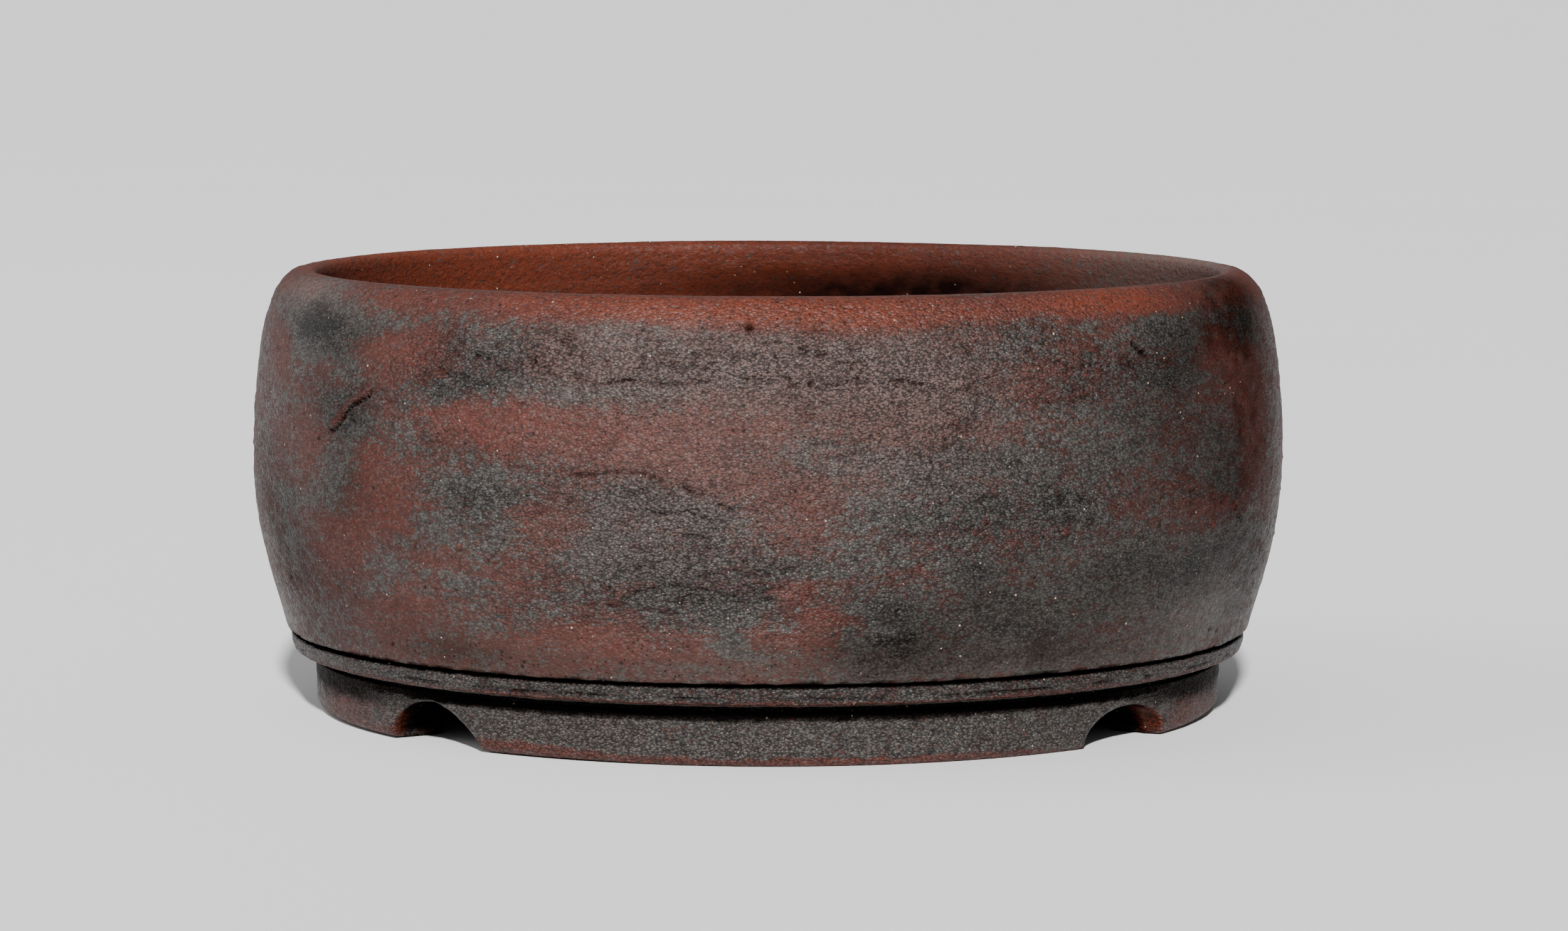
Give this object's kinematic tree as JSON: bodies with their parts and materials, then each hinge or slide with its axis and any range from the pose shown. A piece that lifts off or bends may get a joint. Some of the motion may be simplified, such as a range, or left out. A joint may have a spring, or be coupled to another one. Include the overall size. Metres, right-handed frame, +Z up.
{
  "type": "round bonsai pot",
  "caption": "Round unglazed stoneware bonsai pot with an in-turned rim, a grooved base line, a notched foot ring and a screened drain hole.",
  "frame": {"origin": "centre of the pot's tread, on the surface it stands on", "axes": "+Z up along the pot's axis, -Y out of its front, +X to the right seen from the front"},
  "size_m": [0.15, 0.15, 0.064],
  "materials": {
    "iron_washed_stoneware": "rough torn stoneware with a grey-black iron wash over red-brown clay",
    "floor_clay": "matt red-brown stoneware with turning marks",
    "foot_clay": "turned stoneware with a grey iron wash and a wiped red lower edge",
    "screen_plastic": "matt black woven-look mesh",
    "clip_wire": "satin, anodised brown"
  },
  "bodies": {
    "root": {"wall": "iron_washed_stoneware", "floor_slab": "floor_clay", "foot_ring": "foot_clay", "drain_screen": "screen_plastic", "screen_clip": "clip_wire"}
  },
  "joints": []
}
